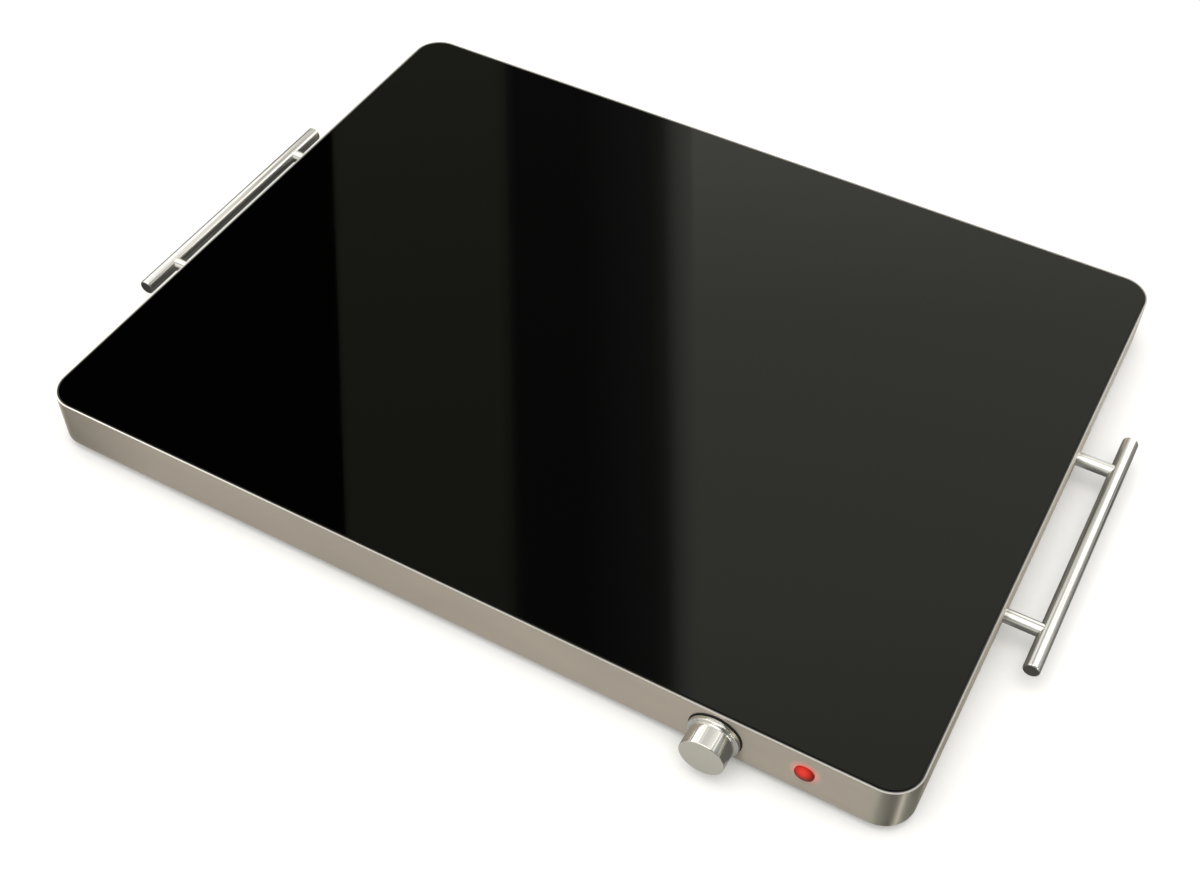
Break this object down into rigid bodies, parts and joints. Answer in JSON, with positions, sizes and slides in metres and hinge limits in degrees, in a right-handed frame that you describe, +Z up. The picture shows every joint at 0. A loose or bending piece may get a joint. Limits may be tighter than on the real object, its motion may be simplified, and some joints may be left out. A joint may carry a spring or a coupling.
{
  "type": "electric food warmer tray",
  "caption": "Flat black glass warming tray in a low brushed steel casing, with T-bar handles, a heat control knob and a red pilot lamp.",
  "frame": {"origin": "on the surface it stands on, under the middle of the overall box, knob and inlet included", "axes": "+X to the right along the front wall, +Y to the back wall with the mains inlet, +Z up"},
  "size_m": [0.7192, 0.5224, 0.0453],
  "materials": {
    "stainless": "brushed along the wall",
    "black_glass": "tempered, polished, back-painted black",
    "seal": "matt silicone",
    "plated_sheet": "zinc plated sheet",
    "handle_steel": "satin brushed along the bar",
    "foot_rubber": "matt",
    "screw_steel": "bright zinc plated",
    "knob_metal": "turned, satin face and polished side",
    "black_plastic": "fine moulded grain",
    "red_lens": "clear red, glossy",
    "nylon": "natural nylon",
    "neon_glass": "clear glow lamp",
    "brass": "plain",
    "aluminium_sheet": "mill finish",
    "cable_braid": "glass fibre braid",
    "fibre_mat": "needled mineral fibre",
    "steatite": "unglazed",
    "copper": "drawn copper capillary",
    "silicone_lead": "silicone insulated lead",
    "earth_insulation": "green and yellow silicone lead"
  },
  "bodies": {
    "tray": {"base_plate": "plated_sheet", "base_screws": "screw_steel", "brace_left": "plated_sheet", "brace_middle": "plated_sheet", "brace_right": "plated_sheet", "cable_clips": "nylon", "capillary_tube": "copper", "casing": "stainless", "earth_lead": "earth_insulation", "earth_screw": "screw_steel", "foot_back_left": "foot_rubber", "foot_back_right": "foot_rubber", "foot_front_left": "foot_rubber", "foot_front_right": "foot_rubber", "foot_screws": "screw_steel", "glass_frame": "plated_sheet", "glass_seal": "seal", "glass_top": "black_glass", "handle_bar_left": "handle_steel", "handle_bar_right": "handle_steel", "handle_post_left_back": "handle_steel", "handle_post_left_front": "handle_steel", "handle_post_right_back": "handle_steel", "handle_post_right_front": "handle_steel", "handle_screws": "screw_steel", "handle_washers": "screw_steel", "heat_spreader": "aluminium_sheet", "heater_crimps": "copper", "heater_leads": "silicone_lead", "heating_cable": "cable_braid", "inlet_body": "black_plastic", "inlet_nuts": "screw_steel", "inlet_pins": "brass", "inlet_screws": "screw_steel", "insulation_mat": "fibre_mat", "knob_seal": "black_plastic", "lamp_body": "nylon", "lamp_leads": "silicone_lead", "lamp_lens": "red_lens", "lamp_nut": "screw_steel", "mains_leads": "silicone_lead", "mat_tray": "plated_sheet", "neon_lamp": "neon_glass", "sensor_bulb": "copper", "spindle_bush": "brass", "spreader_clips": "aluminium_sheet", "switch_leaf": "brass", "terminal_block": "nylon", "terminal_screws": "brass", "thermal_fuse": "steatite", "thermostat_body": "steatite", "thermostat_bracket": "plated_sheet", "thermostat_diaphragm": "screw_steel", "thermostat_screws": "screw_steel", "thermostat_terminals": "brass"},
    "knob": {"control_knob": "knob_metal", "knob_hub": "black_plastic", "thermostat_spindle": "screw_steel"},
    "plunger": {"thermostat_plunger": "brass"}
  },
  "joints": [
    {"name": "knob_turn", "type": "hinge", "parent": "tray", "child": "knob", "pos_m": [0.2007, -0.24125, 0.0241], "axis": [0, 1, 0], "range_deg": [0, 270]},
    {"name": "plunger_slide", "type": "slide", "parent": "tray", "child": "plunger", "axis": [0, 1, 0], "range_m": [0, 0.0015]}
  ],
  "couplings": [
    {"joint": "plunger_slide", "follows": "knob_turn", "m_per_rad": 0.000318}
  ]
}
